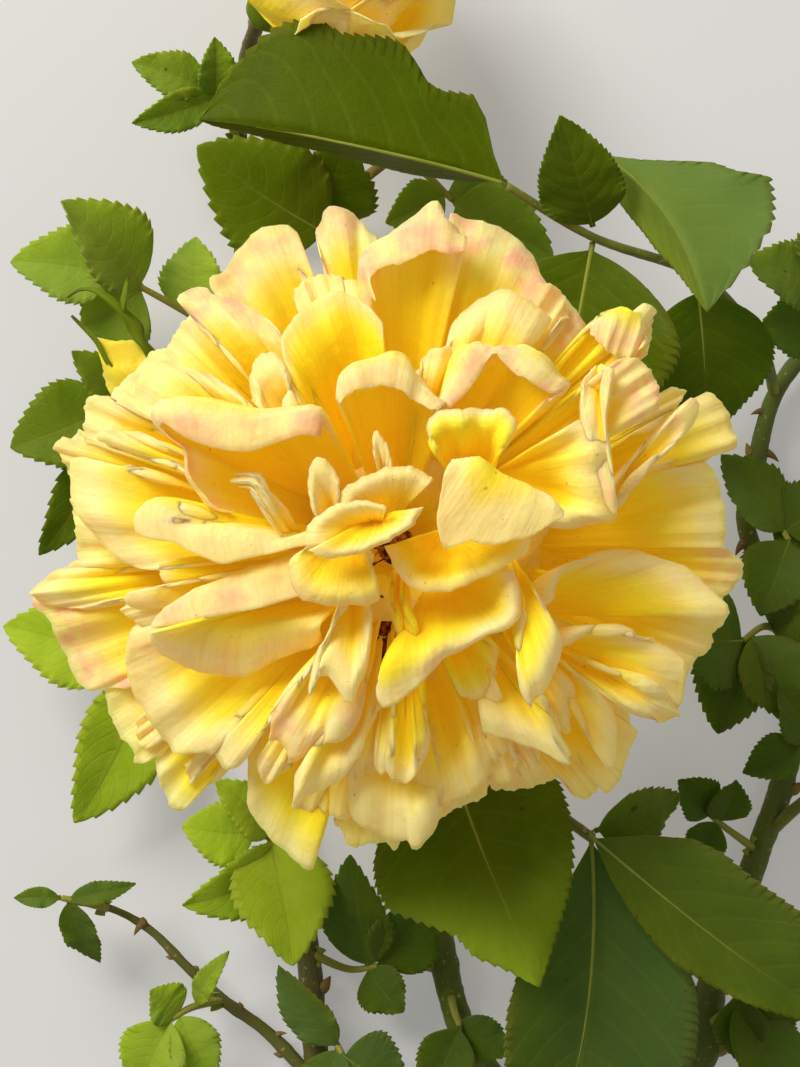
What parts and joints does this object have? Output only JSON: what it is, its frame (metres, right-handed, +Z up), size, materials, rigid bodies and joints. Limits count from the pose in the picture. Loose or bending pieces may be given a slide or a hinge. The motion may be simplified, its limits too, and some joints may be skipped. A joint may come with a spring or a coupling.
{
  "type": "cut rose branch",
  "caption": "Cut flowering rose branch lying on its back: open double yellow bloom, side bloom, bud, canes and toothed leaves.",
  "frame": {"origin": "centre of the flat cut at the foot of the main cane", "axes": "+Y from the cut towards the tip of the branch, +Z up, towards the face of the open bloom, +X to the right"},
  "size_m": [0.1556, 0.2407, 0.0959],
  "materials": {
    "old_cane": "rough brown-green bark",
    "green_cane": "smooth young green bark",
    "leaf_dark": "semi-gloss veined leaf",
    "leaf_fresh": "semi-gloss veined leaf",
    "petal": "soft satin petal",
    "sepal": "matt downy sepal"
  },
  "bodies": {
    "root": {"main_cane": "old_cane", "left_cane_foot": "old_cane", "left_cane": "old_cane", "left_low_shoot": "old_cane", "bloom_stem": "green_cane", "bud_stem": "green_cane", "right_shoot": "green_cane", "top_shoot": "green_cane", "upper_leaf_stalk": "green_cane", "lower_leaf_stalk": "green_cane", "hip_and_sepals": "sepal", "open_bloom": "petal", "top_bloom": "petal", "bud": "sepal", "upper_leaf_end": "leaf_dark", "upper_leaf_inner_left": "leaf_dark", "upper_leaf_outer_left": "leaf_dark", "upper_leaf_inner_right": "leaf_dark", "upper_leaf_outer_right": "leaf_dark", "lower_leaf_left": "leaf_dark", "lower_leaf_right": "leaf_dark", "lower_leaf_end": "leaf_dark", "lower_leaf_small": "leaf_dark", "left_upper_spray": "leaf_dark", "left_middle_spray": "leaf_dark", "left_lower_spray": "leaf_fresh", "left_foot_spray": "leaf_fresh", "left_twig_spray": "leaf_dark", "left_ground_spray": "leaf_fresh", "foot_spray": "leaf_dark", "middle_low_spray": "leaf_dark", "centre_low_spray": "leaf_dark", "top_left_spray": "leaf_fresh", "top_inner_spray": "leaf_dark", "top_middle_spray": "leaf_fresh", "right_top_spray": "leaf_dark", "right_middle_spray": "leaf_dark", "right_lower_spray": "leaf_dark", "right_shoot_spray": "leaf_dark", "right_tip_spray": "leaf_dark", "low_right_spray": "leaf_dark", "bottom_right_spray": "leaf_dark"}
  },
  "joints": []
}
